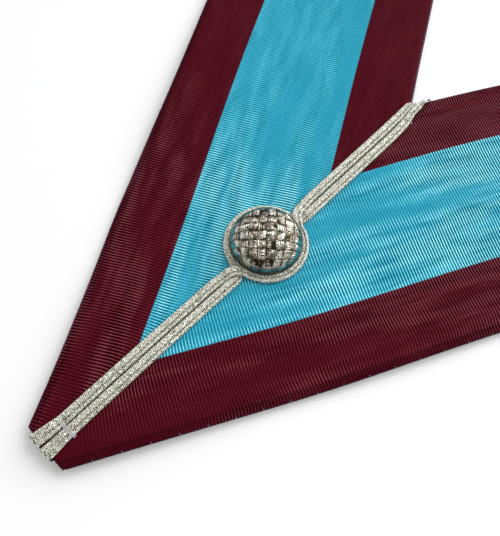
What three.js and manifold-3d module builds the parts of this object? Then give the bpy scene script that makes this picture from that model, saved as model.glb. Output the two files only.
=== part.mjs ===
// A masonic collar that lies flat: two sides of watered ribbon on a black lining, mitred at the
// front point and the back of the neck, a pair of silver braids over the front seam, and a domed
// button inside the ring that the braids make. Millimetres, +Y towards the neck, +Z up.
import * as THREE from 'three';
import { mergeVertices } from 'three/addons/utils/BufferGeometryUtils.js';
import Module from 'manifold-3d';

const wasm = await Module();
wasm.setup();

// Cloth sizes
const RIBBON_WIDTH = 101.6;
const RIBBON_THICKNESS = 1.0;
const LINING_THICKNESS = 1.0;
const LINING_PROUD = 0.7;
const SEWN_GAP = 0.3;
const SEAM_GAP = 0.3;

// The plan: each side runs straight from the front point, then turns round the neck in tucks
const POINT_HALF_ANGLE = 29.2;
const NECK_RADIUS = 115;
const FRONT_DROP = 191;
const TUCKS_PER_SIDE = 4;
const TUCK_RISE = 1.4;
const TUCK_SPREAD = 16;
const TUCK_EDGE = 1.2;
const TUCK_FADE = 0.77;
const TIP_LIFT_REACH = 100;
const SWELL_RISE = 2.3;
const HEM_START = 0.92;

// The braids: one strand crosses over the other above and below the ring
const STRAND_WIDTH = 3.8;
const STRAND_THICKNESS = 1.4;
const STRAND_GAP = 0.5;
const TAIL_LENGTH = 9;
const LEFT_STRAND_PAST = 3.5;
const RIGHT_STRAND_PAST = 7.2;
const RING_CENTRE_X = 0.3;
const RING_DROP = 88.6;
const RING_CLEARANCE = 1.05;
const CROSSING_REACH = 5.8;
const CROSSING_FLATNESS = 2;

// The button: a domed shell whose rim stands over the ring, on a post through the seam
const DOME_RADIUS = 13.1;
const DOME_HEIGHT = 8.2;
const DOME_BACK_RADIUS = 11.2;
const DOME_BACK_RISE = 1.0;
const RIM_OVER_RING = 1.0;
const WEAVE_CELLS = 8;
const WEAVE_DEPTH = 0.5;
const WEAVE_LOW_SHARE = 0.6;
const WEAVE_GROOVE_SHARE = 0.2;
const WEAVE_TURN = 41;
const POST_RADIUS = 1.5;
const POST_CLEARANCE = 0.3;
const POST_SIDES = 16;

// How many rows and columns of faces the cloth and the strands have
const SIDE_ROWS = 28;
const PANEL_ROWS = 2;
const CLOTH_COLUMNS = 8;
const RING_STEPS = 9;
const RING_HALF_TURN = 77;
const UPRIGHT_LIMIT = 0.2;

// How the straight part of each side bends sideways as it lies. at and reach are shares of the
// straight neck edge, counted from the front, and shift is a share of the ribbon's width.
const BENDS = [
  { side: 1, at: 0.12, reach: 0.53, shift: -0.026 },
  { side: -1, at: 0.53, reach: 0.53, shift: -0.012 },
];

// How far the hem draws in the outer edge of each side, in the same shares. It narrows only the cloth
// beyond HEM_START, a share of the ribbon's width.
const HEM_PULLS = [
  { side: -1, at: -0.02, reach: 0.4, pull: 0.015 },
  { side: -1, at: -0.68, reach: 0.32, pull: 0.016 },
];

// Where the cloth stands off the table. along and its reach are shares of the straight neck edge,
// across and its reach are shares of the ribbon's width, and rise is a share of SWELL_RISE.
const SWELLS = [
  { side: -1, along: -0.08, across: 1.05, reachAlong: 0.5, reachAcross: 0.7, rise: 1 },
  { side: -1, along: -0.38, across: 1.0, reachAlong: 0.24, reachAcross: 0.55, rise: -0.48 },
  { side: -1, along: 0.42, across: 0.35, reachAlong: 0.3, reachAcross: 0.5, rise: 0.61 },
  { side: 1, along: 0.12, across: 0.45, reachAlong: 0.34, reachAcross: 0.5, rise: 0.57 },
  { side: 1, along: -0.2, across: 1.0, reachAlong: 0.3, reachAcross: 0.4, rise: 0.52 },
  { side: 1, along: 0.8, across: 0.6, reachAlong: 0.32, reachAcross: 0.5, rise: 0.96 },
  { side: -1, along: 0.95, across: 0.6, reachAlong: 0.3, reachAcross: 0.5, rise: 0.78 },
];

// Where the pair of strands runs. down is a share of FRONT_DROP below the neck point; centre,
// spread and width are shares of STRAND_WIDTH: the pair's middle, the distance between the two
// strands' middles, and the width of each.
const PAIR = [
  { down: 0.0, centre: 0.03, spread: 0.84, width: 0.8 },
  { down: 0.045, centre: 0.25, spread: 1.06, width: 0.96 },
  { down: 0.09, centre: 0.34, spread: 1.13, width: 1.0 },
  { down: 0.3, centre: 0.3, spread: 1.13, width: 1.0 },
  { down: 0.56, centre: 0.16, spread: 1.13, width: 1.0 },
  { down: 0.75, centre: 0.1, spread: 1.13, width: 1.0 },
  { down: 0.94, centre: 0.08, spread: 1.14, width: 1.02 },
  { down: 1.0, centre: -0.09, spread: 1.5, width: 1.24 },
];

// A strand's section: across is a share of its width, from its left edge as seen from the front
// point, and height is a share of its thickness. The groove lies right of the middle.
const STRAND_SECTION = [
  { across: 0.0, height: 0.55 },
  { across: 0.25, height: 1.0 },
  { across: 0.62, height: 0.78 },
  { across: 0.84, height: 0.95 },
  { across: 1.0, height: 0.5 },
];

// Where the strands cross and where they leave the straight, as shares of STRAND_WIDTH outside the
// ring's middle line
const CROSSING_OFFSET = 0.7;
const RING_APPROACH = 1.3;

// The stations of the strands' plan above the ring, as shares of the way down to where they leave
// the straight, and below it, as shares of the way on to the tip
const ABOVE_RING = [0, 0.12, 0.25, 0.5, 0.78, 0.93, 1];
const BELOW_RING = [0, 0.05, 0.15, 0.35, 0.55, 0.75, 0.88, 1];

// Worked out from the sizes above
const radians = THREE.MathUtils.degToRad;
const halfAngle = radians(POINT_HALF_ANGLE);
const tuckAngle = (Math.PI / 2 + halfAngle) / (TUCKS_PER_SIDE + 0.5);
const neckCentreY = NECK_RADIUS / Math.sin(halfAngle);
const straightEdge = NECK_RADIUS / Math.tan(halfAngle);
const ribbonBase = LINING_THICKNESS + SEWN_GAP;
const clothTop = ribbonBase + RIBBON_THICKNESS;
const strandBase = clothTop + STRAND_GAP;
const ringRadius = DOME_BACK_RADIUS + RING_CLEARANCE + STRAND_WIDTH / 2;
const crossingOut = ringRadius + STRAND_WIDTH * CROSSING_OFFSET;
const ringJoin = ringRadius + STRAND_WIDTH * RING_APPROACH;
const domeRimRise = STRAND_GAP + STRAND_THICKNESS + RIM_OVER_RING;
const ringY = -RING_DROP;
const backEdgeY = neckCentreY + (NECK_RADIUS + RIBBON_WIDTH) / Math.cos(tuckAngle / 2);
const tipEdgeY = -FRONT_DROP - STRAND_GAP - STRAND_THICKNESS;

// A smooth hump: 1 in the middle and 0 from a distance of 1 outwards
function hump(distance) {
  const inside = Math.max(0, 1 - distance * distance);
  return inside * inside;
}

// How high the underside of the lining stands over the table. The strands' tails raise the tip.
function lift(x, y) {
  const fromTip = Math.max(0, Math.hypot(x, y + FRONT_DROP) - TAIL_LENGTH);
  let height = (STRAND_GAP + STRAND_THICKNESS) * hump(fromTip / TIP_LIFT_REACH);
  for (const swell of SWELLS) {
    const along = swell.side * x * Math.sin(halfAngle) + y * Math.cos(halfAngle);
    const across = swell.side * x * Math.cos(halfAngle) - y * Math.sin(halfAngle);
    const offAlong = (along / straightEdge - swell.along) / swell.reachAlong;
    const offAcross = (across / RIBBON_WIDTH - swell.across) / swell.reachAcross;
    height += swell.rise * SWELL_RISE * hump(Math.hypot(offAlong, offAcross));
  }
  return Math.max(0, height);
}

// The sum of one column of a table at a distance along a side's straight part from the neck point
function sumAlong(table, side, along, column) {
  const rows = table.filter((row) => row.side === side);
  return rows.reduce((sum, row) => (
    sum + row[column] * RIBBON_WIDTH * hump((along / straightEdge - row.at) / row.reach)), 0);
}

// Sideways shift of the straight part of a side at a place of it
function bend(side, along, across) {
  const hem = THREE.MathUtils.clamp((across / RIBBON_WIDTH - HEM_START) / (1 - HEM_START), 0, 1);
  return sumAlong(BENDS, side, along, 'shift') - hem * sumAlong(HEM_PULLS, side, along, 'pull');
}

// Where a panel of a side starts and ends at some distance across the ribbon. Distances run along
// the panel from the point where its neck edge touches the neck circle.
function panelEnds(panel, across) {
  const radius = NECK_RADIUS + across;
  const corner = radius * Math.tan(tuckAngle / 2);
  const mitre = -radius / Math.tan(halfAngle) + SEAM_GAP / 2 / Math.sin(halfAngle);
  const blunt = (radius * Math.sin(halfAngle) - neckCentreY - FRONT_DROP) / Math.cos(halfAngle);
  const backSeam = corner - SEAM_GAP / 2 / Math.cos(tuckAngle / 2);
  return {
    start: panel === 0 ? Math.max(mitre, blunt) : -corner,
    end: panel === TUCKS_PER_SIDE ? backSeam : corner,
  };
}

// A point of a side's plan: panel 0 is the straight part, and each later one follows a tuck
function planPoint(side, panel, across, distance) {
  const heading = halfAngle - panel * tuckAngle;
  const shift = panel === 0 ? bend(side, distance + straightEdge, across) : 0;
  const radius = NECK_RADIUS + across + shift;
  const x = radius * Math.cos(heading) + distance * Math.sin(heading);
  const y = neckCentreY - radius * Math.sin(heading) + distance * Math.cos(heading);
  return new THREE.Vector2(side * Math.max(x, SEAM_GAP / 2), y);
}

// The rows of a side, each with its panel, its share of the panel's length, its distance from that
// place and how much of a tuck's fold it carries
function clothRows() {
  const rows = [];
  for (let panel = 0; panel <= TUCKS_PER_SIDE; panel += 1) {
    const count = panel === 0 ? SIDE_ROWS : PANEL_ROWS;
    rows.push({ panel, share: 0, offset: panel === 0 ? 0 : TUCK_EDGE, fold: 0 });
    for (let i = 1; i < count; i += 1) rows.push({ panel, share: i / count, offset: 0, fold: 0 });
    const folded = panel < TUCKS_PER_SIDE;
    if (folded) rows.push({ panel, share: 1, offset: -TUCK_SPREAD, fold: 0 });
    rows.push({ panel, share: 1, offset: 0, fold: folded ? 1 : 0 });
  }
  return rows;
}

// Distances across the ribbon of the columns, one of them where the mitre meets the blunt tip
function clothColumns() {
  const tipCorner = FRONT_DROP * Math.sin(halfAngle);
  const columns = [];
  for (let i = 0; i < CLOTH_COLUMNS; i += 1) columns.push((tipCorner * i) / (CLOTH_COLUMNS - 1));
  return [...columns, RIBBON_WIDTH];
}

// One layer of cloth on one side, from the front seam to the back one
function clothGeometry(side, base, thickness, proud, foldRise) {
  const rows = clothRows();
  const columns = clothColumns();
  columns[0] -= proud;
  const slab = new THREE.BoxGeometry(1, 1, 1, rows.length - 1, columns.length - 1, 1);
  const places = slab.getAttribute('position');
  for (let i = 0; i < places.count; i += 1) {
    const row = rows[Math.round((places.getX(i) + 0.5) * (rows.length - 1))];
    const column = Math.round((0.5 - side * places.getY(i)) * (columns.length - 1));
    const across = columns[column];
    const ends = panelEnds(row.panel, across);
    const distance = ends.start + (ends.end - ends.start) * row.share + row.offset;
    const point = planPoint(side, row.panel, across, distance);
    const top = places.getZ(i) > 0;
    const fold = top ? row.fold * foldRise * (1 - (TUCK_FADE * across) / RIBBON_WIDTH) : 0;
    const z = lift(point.x, point.y) + base + (top ? thickness : 0) + fold;
    places.setXYZ(i, point.x, point.y, z);
  }
  return cutPostHole(slab);
}

function toSolid(geometry) {
  const bare = geometry.clone();
  bare.deleteAttribute('normal');
  bare.deleteAttribute('uv');
  const merged = mergeVertices(bare, 1e-4);
  return new wasm.Manifold(new wasm.Mesh({
    numProp: 3,
    vertProperties: new Float32Array(merged.getAttribute('position').array),
    triVerts: new Uint32Array(merged.getIndex().array),
  }));
}

function fromSolid(solid) {
  const mesh = solid.getMesh();
  const geometry = new THREE.BufferGeometry();
  geometry.setAttribute('position', new THREE.BufferAttribute(mesh.vertProperties, 3));
  geometry.setIndex(new THREE.BufferAttribute(mesh.triVerts, 1));
  geometry.computeVertexNormals();
  return geometry;
}

// An upright cylinder on the button's axis
function buttonCylinder(radius, bottom, top) {
  const cylinder = new THREE.CylinderGeometry(radius, radius, top - bottom, POST_SIDES);
  cylinder.rotateX(Math.PI / 2);
  cylinder.translate(RING_CENTRE_X, ringY, (top + bottom) / 2);
  return cylinder;
}

function cutPostHole(cloth) {
  const drill = buttonCylinder(POST_RADIUS + POST_CLEARANCE, -clothTop, 3 * clothTop);
  return fromSolid(toSolid(cloth).subtract(toSolid(drill)));
}

// The PAIR table at a distance below the neck point, in millimetres
function pairAt(drop) {
  const share = THREE.MathUtils.clamp(drop / FRONT_DROP, 0, 1);
  const next = Math.max(1, PAIR.findIndex((row) => row.down >= share));
  const [from, to] = [PAIR[next - 1], PAIR[next]];
  const part = (share - from.down) / (to.down - from.down);
  const value = (name) => STRAND_WIDTH * THREE.MathUtils.lerp(from[name], to[name], part);
  return { centre: value('centre'), spread: value('spread'), width: value('width') };
}

function strandX(lane, drop) {
  const pair = pairAt(drop);
  return pair.centre + (lane * pair.spread) / 2;
}

// The strand's plan from the neck point to the tip. lane is -1 on the left and 1 on the right, and
// the strand goes round the ring on the other side, so the two cross above and below it.
function strandPlan(lane) {
  const ring = [];
  for (let i = 0; i <= RING_STEPS; i += 1) {
    const angle = radians(RING_HALF_TURN * (1 - (2 * i) / RING_STEPS));
    ring.push(new THREE.Vector3(
      RING_CENTRE_X - lane * ringRadius * Math.cos(angle), ringY + ringRadius * Math.sin(angle), 0));
  }
  const straight = (shares, from, to) => shares.map((share) => {
    const drop = THREE.MathUtils.lerp(from, to, share);
    return new THREE.Vector3(strandX(lane, drop), -drop, 0);
  });
  const above = straight(ABOVE_RING, 0, RING_DROP - ringJoin);
  const below = straight(BELOW_RING, RING_DROP + ringJoin, FRONT_DROP);
  return new THREE.CatmullRomCurve3([...above, ...ring, ...below], false, 'centripetal');
}

// The underside of a strand over flat cloth, as points with the strand's width at each. over is
// true for the strand that crosses over the other.
function strandPath(lane, over) {
  const curve = strandPlan(lane);
  const crossings = [RING_DROP - crossingOut, RING_DROP + crossingOut];
  const steps = Math.round(curve.getLength() / STRAND_WIDTH);
  const path = [];
  for (const point of curve.getSpacedPoints(steps)) {
    const near = Math.min(...crossings.map((drop) => (
      Math.hypot(point.x - RING_CENTRE_X, point.y + drop) / CROSSING_REACH)));
    const hop = over ? (STRAND_THICKNESS + SEWN_GAP) * Math.min(1, CROSSING_FLATNESS * hump(near)) : 0;
    const place = new THREE.Vector3(point.x, point.y, strandBase + hop);
    path.push({ place, width: pairAt(-point.y).width });
  }
  const past = lane < 0 ? LEFT_STRAND_PAST : RIGHT_STRAND_PAST;
  const neckEnd = { place: new THREE.Vector3(strandX(lane, 0), past, strandBase), width: pairAt(0).width };
  return [neckEnd, ...path, ...tipWrap(lane)];
}

// The strand's lower end wraps round the blunt tip and runs a little way back under the lining
function tipWrap(lane) {
  const pair = pairAt(FRONT_DROP);
  const x = strandX(lane, FRONT_DROP);
  const corner = (height, from) => [0, 30, 60, 90].map((degrees) => {
    const angle = radians(from + degrees);
    const y = -FRONT_DROP - STRAND_GAP * Math.sin(angle);
    return new THREE.Vector3(x, y, height + STRAND_GAP * Math.cos(angle));
  });
  const tail = new THREE.Vector3(x, TAIL_LENGTH - FRONT_DROP, -STRAND_GAP);
  const wrap = [...corner(clothTop, 0).slice(1), ...corner(0, 90), tail];
  return wrap.map((place) => ({ place, width: pair.width }));
}

// A braid strand: the section carried along the path with its width kept level, and lifted with
// the cloth under it. Where the path runs nearly upright, the width keeps its last direction.
function strandGeometry(lane, over) {
  const path = strandPath(lane, over);
  const last = STRAND_SECTION.length - 1;
  const slab = new THREE.BoxGeometry(1, 1, 1, path.length - 1, last, 1);
  const frames = [];
  let sideways = new THREE.Vector3(1, 0, 0);
  path.forEach((station, i) => {
    const before = path[Math.max(0, i - 1)].place;
    const after = path[Math.min(path.length - 1, i + 1)].place;
    const forward = after.clone().sub(before).normalize();
    const level = new THREE.Vector3(forward.y, -forward.x, 0);
    if (level.length() > UPRIGHT_LIMIT) {
      sideways = level.multiplyScalar(Math.sign(level.dot(sideways))).normalize();
    }
    frames.push({ sideways, up: sideways.clone().cross(forward).negate() });
  });
  const places = slab.getAttribute('position');
  for (let i = 0; i < places.count; i += 1) {
    const station = Math.round((places.getX(i) + 0.5) * (path.length - 1));
    const row = STRAND_SECTION[Math.round((0.5 + places.getY(i)) * last)];
    const { place, width } = path[station];
    const { sideways: across, up } = frames[station];
    const height = places.getZ(i) > 0 ? row.height * STRAND_THICKNESS : 0;
    const point = place.clone().addScaledVector(across, (row.across - 0.5) * width);
    point.addScaledVector(up, height);
    places.setXYZ(i, point.x, point.y, point.z + lift(point.x, point.y));
  }
  return slab;
}

// The lines of the woven relief: each cell has a groove on either side of its raised block
function weaveLines() {
  const lines = [-1];
  for (let cell = 0; cell < WEAVE_CELLS; cell += 1) {
    const from = -1 + (2 * cell) / WEAVE_CELLS;
    const size = 2 / WEAVE_CELLS;
    lines.push(from + size * WEAVE_GROOVE_SHARE, from + size * (1 - WEAVE_GROOVE_SHARE), from + size);
  }
  return lines;
}

// The button's dome: a square grid laid over the round dome, with blocks that stand up in turn
function domeGeometry() {
  const lines = weaveLines();
  const last = lines.length - 1;
  const grid = new THREE.BoxGeometry(1, 1, 1, last, last, 1);
  const places = grid.getAttribute('position');
  for (let i = 0; i < places.count; i += 1) {
    const column = Math.round((places.getX(i) + 0.5) * last);
    const row = Math.round((places.getY(i) + 0.5) * last);
    const [u, v] = [lines[column], lines[row]];
    const x = u * Math.sqrt(1 - (v * v) / 2);
    const y = v * Math.sqrt(1 - (u * u) / 2);
    const fromAxis = Math.min(1, Math.hypot(x, y));
    if (places.getZ(i) > 0) {
      const inGroove = column % 3 === 0 || row % 3 === 0;
      const cell = Math.floor(column / 3) + Math.floor(row / 3);
      const block = inGroove ? 0 : WEAVE_DEPTH * (cell % 2 ? 1 : WEAVE_LOW_SHARE);
      const rise = DOME_HEIGHT * Math.sqrt(1 - fromAxis * fromAxis) + block;
      places.setXYZ(i, x * DOME_RADIUS, y * DOME_RADIUS, domeRimRise + rise);
    } else {
      places.setXYZ(i, x * DOME_BACK_RADIUS, y * DOME_BACK_RADIUS, DOME_BACK_RISE);
    }
  }
  grid.rotateZ(radians(WEAVE_TURN));
  grid.translate(RING_CENTRE_X, ringY, clothTop);
  return grid;
}

function postGeometry() {
  return buttonCylinder(POST_RADIUS, SEWN_GAP, clothTop + DOME_BACK_RISE - SEWN_GAP);
}

// Materials
const ribbonCloth = new THREE.MeshStandardMaterial({ color: 0x4fb0cf, roughness: 0.45, metalness: 0 });
const liningCloth = new THREE.MeshStandardMaterial({ color: 0x141316, roughness: 0.85, metalness: 0 });
const silverBraid = new THREE.MeshStandardMaterial({ color: 0xcfcabb, roughness: 0.5, metalness: 0.4 });
const silverPlate = new THREE.MeshStandardMaterial({ color: 0xc4c2bd, roughness: 0.2, metalness: 1 });
const steel = new THREE.MeshStandardMaterial({ color: 0x8e8e90, roughness: 0.4, metalness: 1 });

function piece(name, geometry, material) {
  const mesh = new THREE.Mesh(geometry, material);
  mesh.name = name;
  return mesh;
}

const collar = new THREE.Group();
for (const [side, word] of [[-1, 'left'], [1, 'right']]) {
  const ribbon = clothGeometry(side, ribbonBase, RIBBON_THICKNESS, 0, TUCK_RISE);
  const lining = clothGeometry(side, 0, LINING_THICKNESS, LINING_PROUD, 0);
  collar.add(piece(`ribbon_${word}`, ribbon, ribbonCloth));
  collar.add(piece(`lining_${word}`, lining, liningCloth));
}
collar.add(piece('braid_over', strandGeometry(-1, true), silverBraid));
collar.add(piece('braid_under', strandGeometry(1, false), silverBraid));
collar.add(piece('button_dome', domeGeometry(), silverPlate));
collar.add(piece('button_post', postGeometry(), steel));

// The origin is under the middle of the collar's length
collar.position.y = -(backEdgeY + tipEdgeY) / 2;

export default collar;
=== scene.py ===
"""A masonic collar that lies flat: watered ribbon on a black lining, silver braids and a button."""
import logging
import math
from dataclasses import dataclass, field, replace
from enum import Enum
from typing import Callable, Sequence

import bmesh
import bpy
from mathutils import Matrix, Vector, noise


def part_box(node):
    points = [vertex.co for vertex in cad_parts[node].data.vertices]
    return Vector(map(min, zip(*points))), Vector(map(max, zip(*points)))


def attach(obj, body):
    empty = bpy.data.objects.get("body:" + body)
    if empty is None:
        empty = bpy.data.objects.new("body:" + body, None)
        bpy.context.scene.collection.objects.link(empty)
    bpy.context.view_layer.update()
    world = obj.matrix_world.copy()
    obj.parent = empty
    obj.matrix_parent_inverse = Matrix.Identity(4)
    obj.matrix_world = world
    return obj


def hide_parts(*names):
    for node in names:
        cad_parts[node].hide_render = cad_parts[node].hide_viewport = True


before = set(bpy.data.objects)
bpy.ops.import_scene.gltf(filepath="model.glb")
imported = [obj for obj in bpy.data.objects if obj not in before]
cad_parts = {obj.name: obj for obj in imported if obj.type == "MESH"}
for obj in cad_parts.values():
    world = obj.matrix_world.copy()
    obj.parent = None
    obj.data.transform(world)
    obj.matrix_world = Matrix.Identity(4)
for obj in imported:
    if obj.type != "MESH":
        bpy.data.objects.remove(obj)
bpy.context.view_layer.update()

MM = 0.001
WELD = 0.002 * MM
TINY = 1e-12
SEAM = 0.0001
ROW_SLACK = 0.01
FACES_UP = 0.5
LEVEL_LIMIT = 0.2
HEM = 2.7 * MM
CLOTH_TOP = 2.3 * MM
WHITE = (1.0, 1.0, 1.0, 1.0)
NOISE_SEED = 2
LOG = logging.getLogger("collar")


class Side(Enum):
    """The wearer's sides as the photograph shows them."""

    LEFT = -1
    RIGHT = 1

    @property
    def word(self) -> str:
        """The side's name in a piece's name."""
        return self.name.lower()


class Slot(Enum):
    """The material slots of the record."""

    RIBBON = "ribbon"
    LINING = "lining"
    BRAID = "braid"
    BUTTON = "button"
    POST = "post"


def hump(distance: float) -> float:
    """A smooth hump: 1 at a distance of 0, and 0 from a distance of 1 outwards."""
    inside = max(0.0, 1.0 - distance * distance)
    return inside * inside


def smooth(low: float, high: float, value: float) -> float:
    """An eased step from 0 at low to 1 at high.

    Args:
        low: Where the step starts.
        high: Where the step ends.
        value: Where to read it.

    Returns:
        The height of the step there.
    """
    share = min(1.0, max(0.0, (value - low) / (high - low)))
    return share * share * (3.0 - 2.0 * share)


def table_value(rows: Sequence[tuple[float, ...]], at: float, column: int) -> float:
    """Reads a table whose first column rises, eased between its rows.

    Args:
        rows: The table.
        at: The value of the first column.
        column: The column to read.

    Returns:
        The value there.
    """
    for low, high in zip(rows, rows[1:]):
        if at <= high[0]:
            share = smooth(low[0], high[0], at)
            return low[column] + (high[column] - low[column]) * share
    return rows[-1][column]


def smooth_path(points: Sequence[Vector], step: float) -> list[Vector]:
    """A centripetal Catmull-Rom curve through points, cut into even steps.

    Args:
        points: The points, from one end to the other.
        step: The length of a step.

    Returns:
        The points of the curve.
    """
    parts = 12
    ends = [2 * points[0] - points[1], *points, 2 * points[-1] - points[-2]]
    dense: list[Vector] = []
    for a, b, c, d in zip(ends, ends[1:], ends[2:], ends[3:]):
        t1 = (b - a).length ** 0.5
        t2 = t1 + (c - b).length ** 0.5
        t3 = t2 + (d - c).length ** 0.5
        for i in range(parts):
            t = t1 + (t2 - t1) * i / parts
            ab = a.lerp(b, t / t1)
            bc = b.lerp(c, (t - t1) / (t2 - t1))
            cd = c.lerp(d, (t - t2) / (t3 - t2))
            dense.append(ab.lerp(bc, t / t2).lerp(bc.lerp(cd, (t - t1) / (t3 - t1)), (t - t1) / (t2 - t1)))
    dense.append(points[-1].copy())
    reach = [0.0]
    for before, after in zip(dense, dense[1:]):
        reach.append(reach[-1] + (after - before).length)
    count = max(1, round(reach[-1] / step))
    path = []
    place = 0
    for i in range(count + 1):
        target = reach[-1] * i / count
        while place < len(dense) - 2 and reach[place + 1] < target:
            place += 1
        span = max(TINY, reach[place + 1] - reach[place])
        path.append(dense[place].lerp(dense[place + 1], (target - reach[place]) / span))
    return path


# The shaders


class Value:
    """A shader socket that does arithmetic: an expression on it adds Math nodes."""

    def __init__(self, tree: bpy.types.NodeTree, socket: bpy.types.NodeSocket) -> None:
        """Wraps an output socket of a node in that tree."""
        self.tree = tree
        self.socket = socket

    def math(self, operation: str, *operands: "Value | float") -> "Value":
        """Adds a Math node.

        Args:
            operation: The node's operation.
            operands: Its inputs, in order.

        Returns:
            Its result.
        """
        node = self.tree.nodes.new("ShaderNodeMath")
        node.operation = operation
        for socket, operand in zip(node.inputs, operands):
            if isinstance(operand, Value):
                self.tree.links.new(operand.socket, socket)
            else:
                socket.default_value = operand
        return Value(self.tree, node.outputs[0])

    def __add__(self, other: "Value | float") -> "Value":
        """The sum."""
        return self.math("ADD", self, other)

    def __sub__(self, other: "Value | float") -> "Value":
        """The difference."""
        return self.math("SUBTRACT", self, other)

    def __rsub__(self, other: float) -> "Value":
        """The difference from a number."""
        return self.math("SUBTRACT", other, self)

    def __mul__(self, other: "Value | float") -> "Value":
        """The product."""
        return self.math("MULTIPLY", self, other)

    def __truediv__(self, other: "Value | float") -> "Value":
        """The quotient."""
        return self.math("DIVIDE", self, other)

    def __gt__(self, other: "Value | float") -> "Value":
        """1 where it is greater, and 0 elsewhere."""
        return self.math("GREATER_THAN", self, other)

    def __lt__(self, other: "Value | float") -> "Value":
        """1 where it is less, and 0 elsewhere."""
        return self.math("LESS_THAN", self, other)

    __radd__ = __add__
    __rmul__ = __mul__

    def absolute(self) -> "Value":
        """The value without its sign."""
        return self.math("ABSOLUTE", self)

    def wave(self) -> "Value":
        """A cosine wave from 0 to 1 that is 1 wherever the value is a whole number."""
        return self.math("COSINE", self * math.tau) * 0.5 + 0.5

    def clamped(self) -> "Value":
        """The value held between 0 and 1."""
        return self.math("MINIMUM", self.math("MAXIMUM", self, 0.0), 1.0)


class Graph:
    """The node graph of one material, or of the room's light."""

    def __init__(self, name: str, room: bool = False) -> None:
        """Makes the material with its Principled shader, or the world with its background.

        Args:
            name: Its name.
            room: Whether it is the world that lights the room.
        """
        self.owner = bpy.data.worlds.new(name) if room else bpy.data.materials.new(name)
        self.owner.use_nodes = True
        self.tree = self.owner.node_tree
        self.shader = self.tree.nodes["Background" if room else "Principled BSDF"]

    def node(self, kind: str, settings: dict | None = None, inputs: dict | None = None,
             output: int | str = 0) -> Value:
        """Adds a node.

        Args:
            kind: The node's type, without its ShaderNode prefix.
            settings: Its properties; stops are a ramp's places and colours.
            inputs: Values or links of its sockets, by name or number.
            output: The output that is used.

        Returns:
            That output.
        """
        node = self.tree.nodes.new("ShaderNode" + kind)
        for name, setting in (settings or {}).items():
            if name == "stops":
                while len(node.color_ramp.elements) < len(setting):
                    node.color_ramp.elements.new(0.5)
                for element, (place, colour) in zip(node.color_ramp.elements, setting):
                    element.position = place
                    element.color = (*colour, 1.0)
            else:
                setattr(node, name, setting)
        for name, value in (inputs or {}).items():
            self.put(node.inputs[name], value)
        return Value(self.tree, node.outputs[output])

    def put(self, socket: bpy.types.NodeSocket, value: object) -> None:
        """Links or sets one input socket.

        Args:
            socket: The socket.
            value: A value of the graph to link, or a constant to set.
        """
        if isinstance(value, Value):
            self.tree.links.new(value.socket, socket)
        else:
            socket.default_value = value

    def dress(self, **sockets: object) -> bpy.types.ID:
        """Sets or links the shader's sockets.

        Args:
            sockets: What they take, by their names in words joined by underscores.

        Returns:
            The material, or the world.
        """
        for name, value in sockets.items():
            self.put(self.shader.inputs[name.replace("_", " ").title().replace("Ior", "IOR")], value)
        return self.owner

    def ramp(self, factor: Value, *stops: tuple[float, tuple[float, float, float]]) -> Value:
        """A colour ramp over a factor."""
        return self.node("ValToRGB", {"stops": stops}, {"Fac": factor})

    def mix(self, factor: Value | float, first: object, second: object, blend: str = "MIX") -> Value:
        """Mixes two colours by a factor."""
        settings = {"data_type": "RGBA", "blend_type": blend}
        return self.node("Mix", settings, {0: factor, 6: first, 7: second}, 2)

    def flow(self, layer: str) -> tuple[Value, Value]:
        """Reads a UV map.

        Args:
            layer: The map's name.

        Returns:
            Its two coordinates.
        """
        place = self.node("UVMap", {"uv_map": layer})
        parts = [self.node("SeparateXYZ", None, {0: place}, name) for name in ("X", "Y")]
        return parts[0], parts[1]

    def cloud(self, along: Value, across: Value, detail: float = 2.0) -> Value:
        """Adds smooth noise over two coordinates, with a feature about 1 across.

        Args:
            along: The first coordinate.
            across: The second.
            detail: How many finer layers it has.

        Returns:
            The noise.
        """
        place = self.node("CombineXYZ", None, {0: along, 1: across})
        return self.node("TexNoise", {"noise_dimensions": "2D"},
                         {"Vector": place, "Scale": 1.0, "Detail": detail})

    def specks(self, size: float, detail: float = 2.0) -> Value:
        """Noise in space with features of that size."""
        place = self.node("TexCoord", None, None, "Object")
        return self.node("TexNoise", None, {"Vector": place, "Scale": 1.0 / size, "Detail": detail})

    def bump(self, height: Value) -> Value:
        """A bumped normal from a height in metres."""
        return self.node("Bump", None, {"Strength": 1.0, "Distance": 1.0, "Height": height})


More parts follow.
